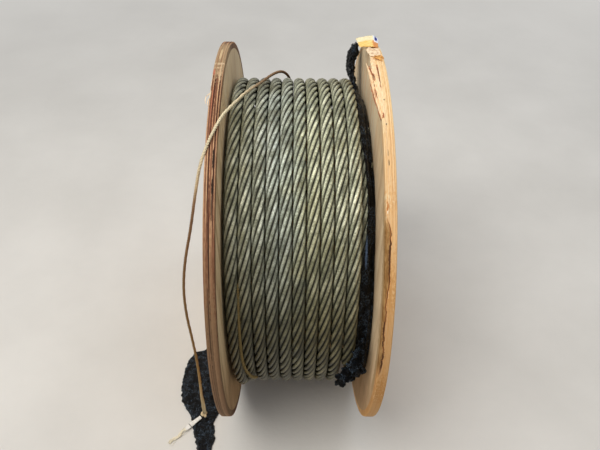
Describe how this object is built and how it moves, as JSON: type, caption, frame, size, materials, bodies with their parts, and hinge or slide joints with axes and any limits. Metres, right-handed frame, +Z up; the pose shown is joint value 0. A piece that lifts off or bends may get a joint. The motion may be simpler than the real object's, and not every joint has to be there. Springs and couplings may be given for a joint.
{
  "type": "wooden cable drum",
  "caption": "Plywood drum wound with steel wire rope, standing on its flange rims, with leftover film, twine and a tape label.",
  "frame": {"origin": "on the drum's axis, midway between the two flanges", "axes": "+X along the drum's axis, from the flange with the twine to the flange with the label; +Z up; the front faces -Y"},
  "size_m": [0.415, 0.75, 0.7537],
  "materials": {
    "flange_plywood": "sanded faces, rough sawn edges with plies showing",
    "stave_softwood": "planed boards",
    "batten_hardwood": "sawn dark hardwood",
    "fastener_steel": "zinc plated",
    "rope_steel": "galvanised wires with dark grease and light rust",
    "wrap_film": "crinkled black film",
    "label_tape": "cream tape with a yellow band",
    "twine_fibre": "laid natural fibre",
    "twine_tape": "white tape"
  },
  "bodies": {
    "root": {"flange_left": "flange_plywood", "flange_right": "flange_plywood", "barrel_staves": "stave_softwood", "barrel_battens": "batten_hardwood", "tie_rods": "fastener_steel", "tie_rod_washers": "fastener_steel", "tie_rod_nuts": "fastener_steel", "wire_rope_winding": "rope_steel", "wrap_strip_right": "wrap_film", "wrap_wad_right": "wrap_film", "wrap_flap_left": "wrap_film", "rim_label": "label_tape", "lashing_twine": "twine_fibre", "lashing_lower_twine": "twine_fibre", "lashing_knot": "twine_fibre", "lashing_tape": "twine_tape"}
  },
  "joints": []
}
